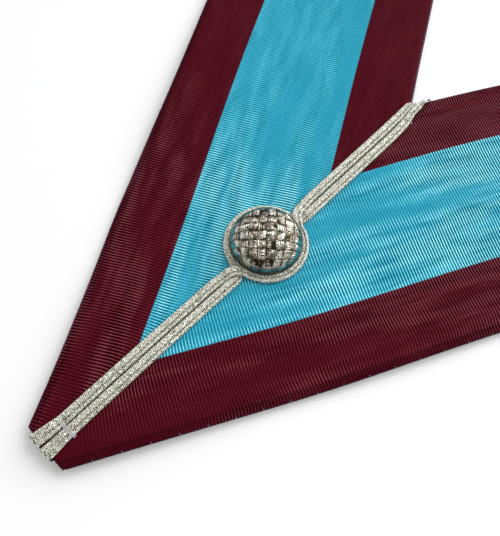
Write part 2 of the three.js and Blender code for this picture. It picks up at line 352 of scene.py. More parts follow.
@dataclass(frozen=True)
class RibbonFinish:
    """Watered grosgrain: turquoise between maroon borders, with ribs across it."""

    side: Side
    width: float
    pitch: float
    left_inner_border: float = 26.0 * MM
    right_inner_border: float = 25.1 * MM
    outer_border: float = 26.3 * MM
    border_teeth: float = 0.26 * MM
    hem: float = HEM
    hem_shade: float = 0.3
    hem_line: float = 0.35 * MM
    hem_line_shade: float = 0.1
    streak: tuple[float, float] = (24.0 * MM, 2.6 * MM)
    streak_least: float = 0.4
    streak_share: float = 1.2
    sheen_streak: tuple[float, float] = (22.0 * MM, 4.0 * MM)
    sheen_streak_share: float = 0.75
    rib_light_swing: float = 1.1
    rib_bump: float = 0.1 * MM
    yarn: float = 0.32 * MM
    yarn_length: float = 6.0
    yarn_share: float = 0.12
    yarn_bump: float = 0.015 * MM
    # The ramps run from painted shade in a rib's valley up to a painted highlight on its crest.
    blue: tuple = (
        (0.0, (0.001, 0.13, 0.185)),
        (0.5, (0.020, 0.295, 0.43)),
        (0.78, (0.11, 0.56, 0.72)),
        (1.0, (0.34, 0.90, 0.98)),
    )
    maroon: tuple = (
        (0.0, (0.024, 0.0004, 0.0015)),
        (0.5, (0.064, 0.0025, 0.0085)),
        (0.78, (0.115, 0.014, 0.024)),
        (1.0, (0.20, 0.05, 0.068)),
    )
    gloss: float = 0.01
    roughness: tuple[float, float] = (0.36, 0.52)

    def material(self) -> bpy.types.Material:
        """Builds the material from the weave's own coordinates.

        Returns:
            The material.
        """
        g = Graph("watered_ribbon")
        along, across = g.flow("weave")
        watered = g.node("Attribute", {"attribute_name": "watered"}, None, "Fac")
        fine = g.cloud(along / self.streak[0], across / self.streak[1])
        # Long streaks of painted sheen, lighter and darker, along the watered figure.
        sheen_streak = g.cloud(along / self.sheen_streak[0], across / self.sheen_streak[1])
        strength = watered * (self.streak_least + fine * self.streak_share)
        inner = self.left_inner_border if self.side is Side.LEFT else self.right_inner_border
        rib = (along / self.pitch).wave()
        edge = across + (rib - 0.5) * self.border_teeth
        middle = (edge > inner) * (edge < self.width - self.outer_border)
        yarns = g.cloud(along / (self.yarn_length * self.yarn), across / self.yarn, 0.0)
        # Painted shade in the rib valleys and a painted highlight on the crests, bolder where the watered
        # figure is strong; the yarns add tone that differs at random.
        tone = (0.5 + (rib - 0.5) * strength * self.rib_light_swing + (sheen_streak - 0.5) * watered * self.sheen_streak_share
                + (yarns - 0.5) * self.yarn_share)
        colour = g.mix(middle, g.ramp(tone, *self.maroon), g.ramp(tone, *self.blue))
        from_hem = self.width - self.hem - across
        line = from_hem.absolute() < self.hem_line
        band = 1.0 - (from_hem < 0.0) * self.hem_shade - line * self.hem_line_shade
        shade = g.node("CombineColor", None, {0: band, 1: band, 2: band})
        height = rib * strength * self.rib_bump + yarns * self.yarn_bump
        low, high = self.roughness
        return g.dress(
            base_color=g.mix(1.0, colour, shade, "MULTIPLY"), normal=g.bump(height),
            roughness=(high - strength * (high - low)).clamped(), specular_ior_level=self.gloss)


@dataclass(frozen=True)
class LiningFinish:
    """Plain black lining cloth with a fine twill."""

    twill: float = 0.55 * MM
    depth: float = 0.03 * MM
    cloud_size: float = 6.6 * MM
    line_share: float = 0.6
    cloud_share: float = 0.4
    tones: tuple = ((0.2, (0.006, 0.006, 0.008)), (0.9, (0.022, 0.021, 0.026)))
    roughness: float = 0.75
    cloud_roughness: float = 0.2
    gloss: float = 0.3

    def material(self) -> bpy.types.Material:
        """Builds the material from the cloth's own coordinates.

        Returns:
            The material.
        """
        g = Graph("black_lining")
        along, across = g.flow("weave")
        line = ((along + across) / self.twill).wave()
        cloud = g.cloud(along / self.cloud_size, across / self.cloud_size)
        tone = line * self.line_share + cloud * self.cloud_share
        return g.dress(base_color=g.ramp(tone, *self.tones), normal=g.bump(line * self.depth),
                       roughness=self.roughness + cloud * self.cloud_roughness, specular_ior_level=self.gloss)


@dataclass(frozen=True)
class BraidFinish:
    """Plaited silver thread: pale and speckled, with painted glints in the specks and painted shade in the
    gaps between the threads, in the groove and along the sides.
    """

    thread: float = 0.62 * MM
    thread_gap_shade: float = 0.3
    slant: float = 3.45
    turn_place: float = 0.66
    groove_place: float = 0.444
    groove_reach: float = 0.035
    groove_shade: float = 0.2
    middle_place: float = 0.375
    side_start: float = 0.32
    side_reach: float = 0.05
    side_shade: float = 0.45
    speck: float = 0.5 * MM
    speck_detail: float = 3.0
    glint_share: float = 2.6
    speck_gloss: float = 0.3
    darkening: float = 0.95
    depth: float = 0.05 * MM
    metal: float = 0.35
    roughness: float = 0.62
    tones: tuple = (
        (0.1, (0.06, 0.056, 0.038)),
        (0.34, (0.34, 0.33, 0.255)),
        (0.6, (0.62, 0.625, 0.535)),
        (0.85, (0.94, 0.95, 0.885)),
    )

    def material(self) -> bpy.types.Material:
        """Builds the material from the strand's own coordinates, places being shares of the way round.

        Returns:
            The material.
        """
        g = Graph("silver_braid")
        along, share = g.flow("plait")
        slope = (share - self.turn_place).absolute() * self.slant
        thread = (along / self.thread + slope).wave()
        specks = g.specks(self.speck, self.speck_detail)
        groove = 1.0 - ((share - self.groove_place).absolute() / self.groove_reach).clamped()
        sides = (((share - self.middle_place).absolute() - self.side_start) / self.side_reach).clamped()
        # Painted glints from the specks; painted shade between the threads, in the groove and along the
        # sides; the ramp's top stop is a painted highlight.
        tone = (thread * self.thread_gap_shade + specks * self.glint_share - self.darkening
                - groove * self.groove_shade - sides * self.side_shade)
        height = thread * self.depth + specks * self.depth
        return g.dress(base_color=g.ramp(tone, *self.tones), metallic=self.metal,
                       roughness=self.roughness - specks * self.speck_gloss, normal=g.bump(height))


@dataclass(frozen=True)
class ButtonFinish:
    """Polished silver plate, dark in the grooves of its weave and a little tarnished."""

    tones: tuple = ((0.0, (0.58, 0.55, 0.485)), (0.45, (0.32, 0.285, 0.225)), (0.9, (0.025, 0.019, 0.012)))
    recess_share: float = 0.85
    spot: float = 1.3 * MM
    spot_detail: float = 3.0
    spot_middle: float = 0.44
    spot_share: float = 0.7
    roughness: float = 0.02
    recess_roughness: float = 0.25
    spot_roughness: float = 0.15
    scratch: float = 0.35 * MM
    scratch_depth: float = 0.006 * MM

    def material(self) -> bpy.types.Material:
        """Builds the material from the relief that the mesh carries.

        Returns:
            The material.
        """
        g = Graph("silver_plate")
        recess = g.node("Attribute", {"attribute_name": "recess"}, None, "Fac")
        spots = g.specks(self.spot, self.spot_detail)
        scratches = g.specks(self.scratch)
        tone = recess * self.recess_share + (spots - self.spot_middle) * self.spot_share
        roughness = self.roughness + recess * self.recess_roughness + spots * self.spot_roughness
        return g.dress(base_color=g.ramp(tone, *self.tones), metallic=1.0, roughness=roughness.clamped(),
                       normal=g.bump(scratches * self.scratch_depth))


@dataclass(frozen=True)
class SteelFinish:
    """The hidden post's plain turned steel."""

    ring: float = 0.12 * MM
    tones: tuple = ((0.0, (0.30, 0.30, 0.31)), (1.0, (0.42, 0.42, 0.43)))
    roughness: float = 0.32
    mark_roughness: float = 0.14

    def material(self) -> bpy.types.Material:
        """Builds the material from turning marks along the post.

        Returns:
            The material.
        """
        g = Graph("turned_steel")
        place = g.node("TexCoord", None, None, "Object")
        height = g.node("SeparateXYZ", None, {0: place}, "Z")
        marks = (height / self.ring).wave()
        return g.dress(base_color=g.ramp(marks, *self.tones), metallic=1.0,
                       roughness=self.roughness + marks * self.mark_roughness)


@dataclass(frozen=True)
class ThreadFinish:
    """Twisted sewing thread of one colour."""

    name: str
    colour: tuple[float, float, float]
    twist: float = 0.5 * MM
    shade: float = 0.55
    places: tuple[float, float] = (0.1, 0.9)
    depth: float = 0.03 * MM
    roughness: float = 0.85
    ply_gloss: float = 0.15
    gloss: float = 0.12

    def material(self) -> bpy.types.Material:
        """Builds the material from the thread's own coordinates.

        Returns:
            The material.
        """
        g = Graph(self.name)
        along, around = g.flow("plait")
        ply = (along / self.twist + around).wave()
        dark = tuple(part * self.shade for part in self.colour)
        colour = g.ramp(ply, *zip(self.places, (dark, self.colour)))
        return g.dress(base_color=colour, roughness=self.roughness - ply * self.ply_gloss,
                       normal=g.bump(ply * self.depth), specular_ior_level=self.gloss)


@dataclass(frozen=True)
class TableFinish:
    """A plain pale table top."""

    colour: tuple[float, float, float] = (0.93, 0.93, 0.935)
    shade: float = 0.985
    places: tuple[float, float] = (0.3, 0.7)
    cloud_size: float = 0.4
    roughness: float = 0.85
    cloud_gloss: float = 0.1
    gloss: float = 0.1

    def material(self) -> bpy.types.Material:
        """Builds the material, with the faintest clouding.

        Returns:
            The material.
        """
        g = Graph("pale_table")
        clouds = g.specks(self.cloud_size)
        low = tuple(part * self.shade for part in self.colour)
        colour = g.ramp(clouds, *zip(self.places, (low, self.colour)))
        return g.dress(base_color=colour, roughness=self.roughness - clouds * self.cloud_gloss,
                       specular_ior_level=self.gloss)


# How the collar lies


@dataclass(frozen=True)
class Swell:
    """A place where the cloth stands off the table, with its places and reaches as shares of the
    straight neck edge (along) and of the ribbon's width (across)."""

    side: Side
    along: float
    across: float
    reach_along: float
    reach_across: float
    rise: float


@dataclass(frozen=True)
class Bend:
    """A sideways bend of a side's straight part, as shares of that part and of the width."""

    side: Side
    at: float
    reach: float
    shift: float


@dataclass(frozen=True)
class HemPull:
    """A stretch of a side where the hem draws in the outer edge, in the shares of a bend."""

    side: Side
    at: float
    reach: float
    pull: float


@dataclass(frozen=True)
class Lay:
    """The plan of the collar on the table, round the neck point as its origin."""

    half_angle: float = math.radians(29.2)
    neck_radius: float = 115 * MM
    ribbon_width: float = 101.6 * MM
    front_drop: float = 191 * MM
    seam_gap: float = 0.3 * MM
    tucks: int = 4
    cloth_top: float = CLOTH_TOP
    tail_lift: float = 1.9 * MM
    tail_length: float = 9 * MM
    tip_lift_reach: float = 100 * MM
    bends: tuple[Bend, ...] = (Bend(Side.RIGHT, 0.12, 0.53, -0.026), Bend(Side.LEFT, 0.53, 0.53, -0.012))
    hem_start: float = 0.92
    hem_pulls: tuple[HemPull, ...] = (
        HemPull(Side.LEFT, -0.02, 0.4, 0.015), HemPull(Side.LEFT, -0.68, 0.32, 0.016))
    swells: tuple[Swell, ...] = (
        Swell(Side.LEFT, -0.08, 1.05, 0.5, 0.7, 2.3 * MM),
        Swell(Side.LEFT, -0.38, 1.0, 0.24, 0.55, -1.1 * MM),
        Swell(Side.LEFT, 0.42, 0.35, 0.3, 0.5, 1.4 * MM),
        Swell(Side.RIGHT, 0.12, 0.45, 0.34, 0.5, 1.3 * MM),
        Swell(Side.RIGHT, -0.2, 1.0, 0.3, 0.4, 1.2 * MM),
        Swell(Side.RIGHT, 0.8, 0.6, 0.32, 0.5, 2.2 * MM),
        Swell(Side.LEFT, 0.95, 0.6, 0.3, 0.5, 1.8 * MM),
    )

    @property
    def tuck_angle(self) -> float:
        """The turn of the cloth at each tuck."""
        return (math.pi / 2 + self.half_angle) / (self.tucks + 0.5)

    @property
    def neck_centre(self) -> float:
        """How far the middle of the neck opening lies behind the neck point."""
        return self.neck_radius / math.sin(self.half_angle)

    @property
    def straight_edge(self) -> float:
        """The length of the straight part of the neck edge."""
        return self.neck_radius / math.tan(self.half_angle)

    def lift(self, x: float, y: float) -> float:
        """How high the underside of the lining stands over the table.

        Args:
            x: The place sideways from the neck point.
            y: The place backwards from the neck point.

        Returns:
            The height there.
        """
        from_tip = max(0.0, math.hypot(x, y + self.front_drop) - self.tail_length)
        height = self.tail_lift * hump(from_tip / self.tip_lift_reach)
        sine, cosine = math.sin(self.half_angle), math.cos(self.half_angle)
        for swell in self.swells:
            sideways = swell.side.value * x
            along = (sideways * sine + y * cosine) / self.straight_edge - swell.along
            across = (sideways * cosine - y * sine) / self.ribbon_width - swell.across
            height += swell.rise * hump(math.hypot(along / swell.reach_along, across / swell.reach_across))
        return max(0.0, height)

    def bend(self, side: Side, distance: float) -> float:
        """The sideways shift of a side's straight part.

        Args:
            side: The side of the collar.
            distance: The distance from where the neck turns.

        Returns:
            The shift away from the neck.
        """
        along = distance / self.straight_edge + 1.0
        return sum(bend.shift * self.ribbon_width * hump((along - bend.at) / bend.reach)
                   for bend in self.bends if bend.side is side)

    def hem_pull(self, side: Side, distance: float, across: float) -> float:
        """How far the hem draws in a point of a side's straight part.

        Args:
            side: The side of the collar.
            distance: The point's distance from where the neck turns.
            across: Its distance from the neck edge.

        Returns:
            The shift towards the neck edge.
        """
        along = distance / self.straight_edge + 1.0
        share = (across / self.ribbon_width - self.hem_start) / (1.0 - self.hem_start)
        return min(1.0, max(0.0, share)) * sum(
            row.pull * self.ribbon_width * hump((along - row.at) / row.reach)
            for row in self.hem_pulls if row.side is side)

    def corner(self, across: float) -> float:
        """Half the length of a panel round the neck, at a distance from the neck edge."""
        return (self.neck_radius + across) * math.tan(self.tuck_angle / 2)

    def front_end(self) -> float:
        """Where the straight panel comes to its point, as a distance along it."""
        return (self.seam_gap / 2 * math.sin(self.half_angle)
                - (self.front_drop + self.neck_centre) * math.cos(self.half_angle))

    def width_at(self, side: Side, panel: int, distance: float, proud: float) -> tuple[float, float]:
        """How far a row of the weave reaches.

        Args:
            side: The side of the collar.
            panel: 0 for the straight part, and 1 and up round the neck.
            distance: The row's place along the panel.
            proud: How far the cloth stands out past the ribbon's neck edge.

        Returns:
            The distances from the neck edge at which the row starts and ends.
        """
        low, high = -proud, self.ribbon_width
        if panel > 0 or distance > 0:
            back_seam = self.seam_gap / 2 / math.cos(self.tuck_angle / 2)
            gap = back_seam if panel == self.tucks and distance > 0 else 0.0
            low = max(low, (abs(distance) + gap) / math.tan(self.tuck_angle / 2) - self.neck_radius)
        else:
            sine, cosine = math.sin(self.half_angle), math.cos(self.half_angle)
            inset = self.neck_radius + self.bend(side, distance)
            low = max(low, (self.seam_gap / 2 - distance * sine) / cosine - inset)
            high = min(high, (self.neck_centre + self.front_drop + distance * cosine) / sine - inset)
        return min(low, high), high

    def plan(self, side: Side, panel: int, distance: float, across: float) -> Vector:
        """The place on the table of a point of the weave.

        Args:
            side: The side of the collar.
            panel: 0 for the straight part, and 1 and up round the neck.
            distance: The point's place along the panel.
            across: Its distance from the neck edge.

        Returns:
            The place, at the height of the table.
        """
        heading = self.half_angle - panel * self.tuck_angle
        radius = self.neck_radius + across
        if panel == 0:
            radius += self.bend(side, distance) - self.hem_pull(side, distance, across)
        x = radius * math.cos(heading) + distance * math.sin(heading)
        y = self.neck_centre - radius * math.sin(heading) + distance * math.cos(heading)
        return Vector((side.value * x, y, 0.0))


@dataclass(frozen=True)
class Piece:
    """Where every piece goes: its parent body, and the neck point in the frame of the part."""

    neck_point: Vector
    body: str = "root"

    def finish(self, bm: bmesh.types.BMesh, name: str, slot: Slot, material: bpy.types.Material,
               replaces: Sequence[str] = (), crease: float = 60.0) -> bpy.types.Object:
        """Makes a shaded object of a mesh and hands it to the frame.

        Args:
            bm: The mesh, round the neck point. Its normals are turned outwards, and it is freed.
            name: The piece's name.
            slot: The record's slot. It is not used.
            material: Its material.
            replaces: The solids that it stands for.
            crease: The angle in degrees from which an edge is shaded sharp.

        Returns:
            The object.
        """
        bmesh.ops.recalc_face_normals(bm, faces=bm.faces)
        bmesh.ops.translate(bm, verts=bm.verts, vec=self.neck_point)
        mesh = bpy.data.meshes.new(name)
        bm.to_mesh(mesh)
        bm.free()
        mesh.shade_smooth()
        mesh.set_sharp_from_angle(angle=math.radians(crease))
        mesh.materials.append(material)
        piece = bpy.data.objects.new(name, mesh)
        bpy.context.scene.collection.objects.link(piece)
        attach(piece, self.body)
        if replaces:
            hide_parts(*replaces)
        LOG.info("%s: %d faces", name, len(mesh.polygons))
        return piece


def unit_grid(bm: bmesh.types.BMesh, rows: int, columns: int) -> list[bmesh.types.BMVert]:
    """Adds a grid that reaches from 0 to 1 both ways, and gives its vertices."""
    middle = Matrix.Translation((0.5, 0.5, 0.0))
    return bmesh.ops.create_grid(bm, x_segments=rows, y_segments=columns, size=0.5, matrix=middle)["verts"]


def write_flow(layer: bmesh.types.BMLayerItem, flow: dict[bmesh.types.BMVert, tuple[float, float]]) -> None:
    """Writes the running coordinates of vertices to the faces round them.

    Args:
        layer: The UV map.
        flow: The coordinates by vertex.
    """
    for face in {face for vert in flow for face in vert.link_faces}:
        for loop in face.loops:
            loop[layer].uv = flow[loop.vert]


# The cloth


@dataclass(frozen=True)
class WateredFigure:
    """The watered figure: long streaks in which the ribs stand up or lie pressed flat."""

    length: float = 60 * MM
    width: float = 6.5 * MM
    drift: float = 9 * MM
    drift_length: float = 70 * MM
    drift_width: float = 30 * MM
    wave: float = 1.3 * MM
    wave_length: float = 42 * MM
    wave_width: float = 22 * MM
    broad_length: float = 120 * MM
    broad_width: float = 19.5 * MM
    streak_share: float = 1.3
    broad_share: float = 0.7
    least: float = 0.3
    most: float = 1.5
    drift_seed: float = 3.7
    streak_seed: float = 8.7
    broad_seed: float = 12.7
    wave_seed: float = 23.7

    def strength(self, along: float, across: float) -> float:
        """How boldly the ribs stand up, about 1 on the whole.

        Args:
            along: The place along the weave.
            across: The place across it.

        Returns:
            The strength there.
        """
        drift = noise.noise((along / self.drift_length, across / self.drift_width, self.drift_seed))
        drifted = across + self.drift * drift
        streak = noise.noise((along / self.length, drifted / self.width, self.streak_seed))
        broad = noise.noise((along / self.broad_length, drifted / self.broad_width, self.broad_seed))
        return min(self.most, max(self.least, 1.0 + self.streak_share * streak + self.broad_share * broad))

    def shift(self, along: float, across: float) -> float:
        """How far a rib wanders along the ribbon there."""
        return self.wave * noise.noise((along / self.wave_length, across / self.wave_width, self.wave_seed))


@dataclass
class ClothLayer:
    """One layer of cloth on one side: panels that meet at the tucks, closed into a thin slab."""

    lay: Lay
    side: Side
    base: float
    thickness: float
    proud: float
    rows_to_corner: int
    leg_columns: int
    neck_columns: int
    under_columns: int
    edge_round: float
    edge_drop: float

    def rows(self, panel: int) -> list[float]:
        """Sets out the rows of a panel, so that rows meet at the tucks.

        Args:
            panel: The panel's number.

        Returns:
            The rows' places along the panel.
        """
        step = self.lay.corner(-self.proud) / self.rows_to_corner
        reach = self.lay.corner(self.lay.ribbon_width)
        front = self.lay.front_end() if panel == 0 else -reach
        first = math.ceil(front / step + ROW_SLACK)
        last = math.floor(reach / step - ROW_SLACK)
        return [front, *(step * i for i in range(first, last + 1)), reach]

    def columns(self, count: int) -> list[float]:
        """Sets out the columns: two close to each end, and the rest even.

        Args:
            count: How many even steps there are.

        Returns:
            The columns as shares of a row.
        """
        edge = self.edge_round / self.lay.ribbon_width
        near = [0.0, edge / 4, edge]
        inner = [i / count for i in range(1, count)]
        return [*near, *inner, *(1.0 - share for share in reversed(near))]

    def along(self, panel: int, distance: float) -> float:
        """The running length of the weave, which differs from side to side by a metre."""
        return distance + 2 * panel * self.lay.corner(self.lay.ribbon_width / 2) + self.side.value

    def relief(self, panel: int, distance: float, across: float, edge: float) -> float:
        """The height of the upper face over its flat place, at a distance from the free edge."""
        return -self.edge_drop * (1.0 - smooth(0.0, self.edge_round, edge))

    def wander(self, panel: int, distance: float, across: float, inside: float) -> float:
        """How far a point is moved along the weave."""
        return 0.0

    def free_edge(self, place: Vector, across: float) -> float:
        """The distance to the nearest free edge.

        Args:
            place: The place on the table.
            across: The distance from the neck edge.

        Returns:
            The distance.
        """
        outer = self.lay.ribbon_width - across
        return max(0.0, min(across + self.proud, outer, place.y + self.lay.front_drop,
                            abs(place.x) - self.lay.seam_gap / 2))

    def panel(self, bm: bmesh.types.BMesh, panel: int, columns: Sequence[float], upper: bool) -> None:
        """Adds one face of one panel.

        Args:
            bm: The mesh.
            panel: The panel's number.
            columns: The columns as shares of a row.
            upper: Whether it is the upper face.
        """
        rows = self.rows(panel)
        last_row, last_column = len(rows) - 1, len(columns) - 1
        watered = bm.verts.layers.float["watered"]
        spans = [self.lay.width_at(self.side, panel, distance, self.proud) for distance in rows]
        flow = {}
        for vert in unit_grid(bm, last_row, last_column):
            row = round(vert.co.x * last_row)
            low, high = spans[row]
            share = columns[round(vert.co.y * last_column)]
            distance, across = rows[row], low + (high - low) * share
            flow[vert] = (self.along(panel, distance), across)
            inside = (high - low) * min(share, 1.0 - share)
            moved = distance + self.wander(panel, distance, across, inside)
            place = self.lay.plan(self.side, panel, moved, across)
            height = self.lay.lift(place.x, place.y) + self.base
            if upper:
                edge = self.free_edge(place, across)
                height += self.thickness + self.relief(panel, distance, across, edge)
                vert[watered] = self.watered(panel, distance, across)
            vert.co = (place.x, place.y, height)
        write_flow(bm.loops.layers.uv["weave"], flow)

    def watered(self, panel: int, distance: float, across: float) -> float:
        """The strength of the watered figure there."""
        return 0.0

    def mesh(self) -> bmesh.types.BMesh:
        """Builds the closed slab.

        Returns:
            The mesh.
        """
        bm = bmesh.new()
        bm.loops.layers.uv.new("weave")
        bm.verts.layers.float.new("watered")
        for panel in range(self.lay.tucks + 1):
            count = self.leg_columns if panel == 0 else self.neck_columns
            self.panel(bm, panel, self.columns(count), True)
        top_edges = [edge for edge in self.weld(bm).edges if edge.is_boundary]
        weave = bm.loops.layers.uv["weave"]
        rim = bmesh.ops.extrude_edge_only(bm, edges=top_edges)["geom"]
        for vert in (item for item in rim if isinstance(item, bmesh.types.BMVert)):
            vert.co.z = self.lay.lift(vert.co.x, vert.co.y) + self.base
        for face in (item for item in rim if isinstance(item, bmesh.types.BMFace)):
            self.carry_flow(face, weave)
        under = [i / self.under_columns for i in range(self.under_columns + 1)]
        for panel in range(self.lay.tucks + 1):
            self.panel(bm, panel, under, False)
        return self.weld(bm)

    @staticmethod
    def carry_flow(face: bmesh.types.BMFace, weave: bmesh.types.BMLayerItem) -> None:
        """Gives a wall's face the weave coordinates of the top edge that it hangs from.

        Args:
            face: The wall's face.
            weave: The UV map.
        """
        for edge in face.edges:
            others = [loop for loop in edge.link_loops if loop.face is not face]
            if edge.is_boundary or not others or others[0].face.normal.z < FACES_UP:
                continue
            top = {loop.vert: loop[weave].uv.copy() for loop in others[0].face.loops}
            for loop in face.loops:
                if loop.vert in top:
                    loop[weave].uv = top[loop.vert]
                else:
                    upper = next(e.other_vert(loop.vert) for e in loop.vert.link_edges
                                 if e.other_vert(loop.vert) in top)
                    loop[weave].uv = top[upper]

    @staticmethod
    def weld(bm: bmesh.types.BMesh) -> bmesh.types.BMesh:
        """Joins the panels where they meet.

        Args:
            bm: The mesh.

        Returns:
            The same mesh.
        """
        bmesh.ops.remove_doubles(bm, verts=bm.verts, dist=WELD)
        bm.normal_update()
        return bm


@dataclass
class RibbonSide(ClothLayer):
    """The watered ribbon of one side, woven with ribs across it."""

    base: float = 1.3 * MM
    thickness: float = 1.0 * MM
    proud: float = 0.0
    rows_to_corner: int = 96
    leg_columns: int = 34
    neck_columns: int = 9
    under_columns: int = 6
    edge_round: float = 0.9 * MM
    edge_drop: float = 0.4 * MM
    rows_per_rib: int = 4
    rib_height: float = 0.2 * MM
    fold_rise: float = 1.4 * MM
    fold_fade: float = 0.77
    fold_spread: float = 16 * MM
    fold_edge: float = 1.2 * MM
    hem: float = HEM
    hem_width: float = 0.7 * MM
    hem_depth: float = 0.12 * MM
    calm_edge: float = 8 * MM
    figure: WateredFigure = field(default_factory=WateredFigure)
    boldness: tuple[tuple[float, float, float], ...] = (
        (-0.85, 0.5, 0.5),
        (-0.5, 0.95, 0.52),
        (-0.3, 0.72, 0.62),
        (-0.15, 0.42, 0.76),
        (0.0, 0.26, 1.12),
        (0.3, 0.25, 1.05),
        (0.8, 0.6, 0.7),
    )

    @property
    def pitch(self) -> float:
        """The distance from rib to rib."""
        return self.rows_per_rib * self.lay.corner(0.0) / self.rows_to_corner

    def watered(self, panel: int, distance: float, across: float) -> float:
        """The strength of the watered figure, by the boldness table of this side.

        Args:
            panel: The panel's number.
            distance: The place along the panel.
            across: The distance from the neck edge.

        Returns:
            The strength there.
        """
        share = distance / self.lay.straight_edge + 1.0 if panel == 0 else 1.0
        bold = table_value(self.boldness, share, 1 if self.side is Side.LEFT else 2)
        return bold * self.figure.strength(self.along(panel, distance), across)

    def along(self, panel: int, distance: float) -> float:
        """The running length, kept to whole ribs from panel to panel."""
        ribs = round(super().along(panel, 0.0) / self.pitch)
        return distance + ribs * self.pitch

    def wander(self, panel: int, distance: float, across: float, inside: float) -> float:
        """The ribs wander a little inside the cloth, and not at its edges."""
        along = self.along(panel, distance)
        return smooth(0.0, self.calm_edge, inside) * self.figure.shift(along, across)

    def relief(self, panel: int, distance: float, across: float, edge: float) -> float:
        """The ribs, the folds of the tucks, the sewn hem and the rounded edges.

        Args:
            panel: The panel's number.
            distance: The place along the panel.
            across: The distance from the neck edge.
            edge: The distance from the nearest free edge.

        Returns:
            The height over the flat cloth.
        """
        lay = self.lay
        along = self.along(panel, distance)
        crest = 0.5 + 0.5 * math.cos(math.tau * along / self.pitch)
        ribs = -self.rib_height * self.watered(panel, distance, across) * (1.0 - crest)
        corner = lay.corner(across)
        fold = 0.0
        if panel < lay.tucks:
            fold += smooth(-self.fold_spread, 0.0, distance - corner)
        if panel > 0:
            fold += 1.0 - smooth(0.0, self.fold_edge, distance + corner)
        fold *= self.fold_rise * (1.0 - self.fold_fade * across / lay.ribbon_width)
        from_hem = abs(lay.ribbon_width - across - self.hem)
        hem = -self.hem_depth * hump(from_hem / self.hem_width)
        return super().relief(panel, distance, across, edge) + ribs + fold + hem

    def build(self, place: Piece, finish: RibbonFinish) -> bpy.types.Object:
        """Makes the piece.

        Args:
            place: Where the pieces go.
            finish: The ribbon's finish.

        Returns:
            The object.
        """
        name = f"ribbon_{self.side.word}"
        return place.finish(self.mesh(), f"watered_{name}", Slot.RIBBON, finish.material(), [name])


@dataclass
class LiningSide(ClothLayer):
    """The black lining of one side, which shows as a rolled edge along the neck."""

    base: float = 0.0
    thickness: float = 1.0 * MM
    proud: float = 0.7 * MM
    rows_to_corner: int = 14
    leg_columns: int = 16
    neck_columns: int = 12
    under_columns: int = 16
    edge_round: float = 0.8 * MM
    edge_drop: float = 0.35 * MM

    def build(self, place: Piece, material: bpy.types.Material) -> bpy.types.Object:
        """Makes the piece.

        Args:
            place: Where the pieces go.
            material: The lining's material.

        Returns:
            The object.
        """
        name = f"lining_{self.side.word}"
        return place.finish(self.mesh(), f"black_{name}", Slot.LINING, material, [name])


# The braids and threads


@dataclass(frozen=True)
class Station:
    """A step of a swept strand: the middle of its underside, its width and how flat it is pressed."""

    place: Vector
    width: float
    sideways: Vector
    up: Vector
    press: float = 1.0


def swept(bm: bmesh.types.BMesh, stations: Sequence[Station], around: int,
          section: Callable[[float, float], tuple[float, float]]) -> None:
    """Adds a closed solid carried along a path.

    Args:
        bm: The mesh.
        stations: The path.
        around: How many faces go round it.
        section: Gives the place across and up from a station, as lengths, for a share of the way
            round from 0 to 1 and the running length. It works on a strand 1 wide.
    """
    reach = [0.0]
    for before, after in zip(stations, stations[1:]):
        reach.append(reach[-1] + (after.place - before.place).length)
    last = len(stations) - 1
    flow = {}
    ends = {0: [], last: []}
    for vert in unit_grid(bm, last, around):
        row, share = round(vert.co.x * last), vert.co.y
        station = stations[row]
        across, up = section(share % 1.0 if share < 1.0 - SEAM else 0.0, reach[row])
        flow[vert] = (reach[row], share)
        aside = station.sideways * (across * station.width)
        vert.co = station.place + aside + station.up * up * station.press
        if row in ends:
            ends[row].append(vert)
    write_flow(bm.loops.layers.uv["plait"], flow)
    seam = [vert for vert, (_, share) in flow.items() if not SEAM < share < 1.0 - SEAM]
    bmesh.ops.remove_doubles(bm, verts=seam, dist=WELD / 4)
    for end in ends.values():
        rim = {edge for vert in end if vert.is_valid for edge in vert.link_edges if edge.is_boundary}
        cap = bmesh.ops.holes_fill(bm, edges=list(rim), sides=0)["faces"]
        if cap:
            bmesh.ops.poke(bm, faces=cap)


def strand_mesh() -> bmesh.types.BMesh:
    """Starts a mesh of strands, with the map of their running coordinates.

    Returns:
        The mesh.
    """
    bm = bmesh.new()
    bm.loops.layers.uv.new("plait")
    return bm


def stations_of(points: Sequence[Vector], width: Callable[[Vector], float], start: Vector) -> list[Station]:
    """Sets up the steps of a strand, whose width stays level.

    Args:
        points: The path.
        width: The strand's width at a point.
        start: The sideways direction to begin with.

    Returns:
        The stations.
    """
    stations, sideways = [], start
    for i, point in enumerate(points):
        forward = (points[min(i + 1, len(points) - 1)] - points[max(0, i - 1)]).normalized()
        level = Vector((forward.y, -forward.x, 0.0))
        if level.length > LEVEL_LIMIT:
            level.normalize()
            sideways = level if level.dot(sideways) > 0 else -level
        up = -sideways.cross(forward)
        stations.append(Station(point, width(point), sideways.copy(), up))
    return stations


